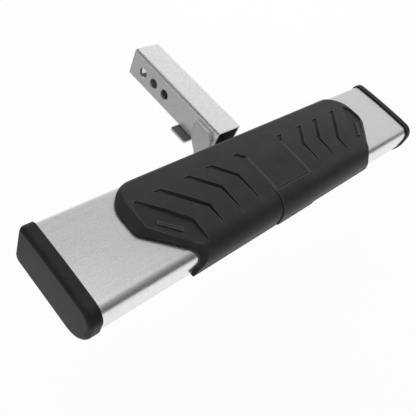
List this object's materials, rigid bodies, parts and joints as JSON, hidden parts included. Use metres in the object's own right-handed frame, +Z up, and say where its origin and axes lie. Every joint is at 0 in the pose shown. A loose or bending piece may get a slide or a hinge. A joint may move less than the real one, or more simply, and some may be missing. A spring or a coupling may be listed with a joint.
{
  "type": "hitch receiver step",
  "caption": "Tow hitch step: hollow bright metal step bar with a chevron tread pad and end caps, on a square receiver shank with pin holes.",
  "frame": {"origin": "on the shank's centre line, at the axis of the middle pin hole", "axes": "+X along the step bar and along the pin holes, +Y along the shank towards the vehicle, +Z up"},
  "size_m": [0.715, 0.3618, 0.1024],
  "materials": {
    "stainless": "satin brushed",
    "pad_plastic": "matte moulded",
    "cap_plastic": "satin moulded",
    "shank_steel": "satin silver coating",
    "bracket_steel": "satin silver coating",
    "fastener": "zinc plated",
    "spring_steel": "plain spring steel",
    "weld": "rippled, coated"
  },
  "bodies": {
    "root": {"step_tube": "stainless", "step_pad": "pad_plastic", "end_cap_left": "cap_plastic", "end_cap_right": "cap_plastic", "shank_tube": "shank_steel", "side_plate_left": "bracket_steel", "side_plate_right": "bracket_steel", "seat_plate": "bracket_steel", "stop_plate": "bracket_steel", "mount_bolts": "fastener", "bolt_washers": "fastener", "nut_strip_rear": "fastener", "nut_strip_front": "fastener", "pad_push_nuts": "spring_steel", "side_plate_welds": "weld", "seat_welds": "weld", "stop_welds": "weld"}
  },
  "joints": []
}
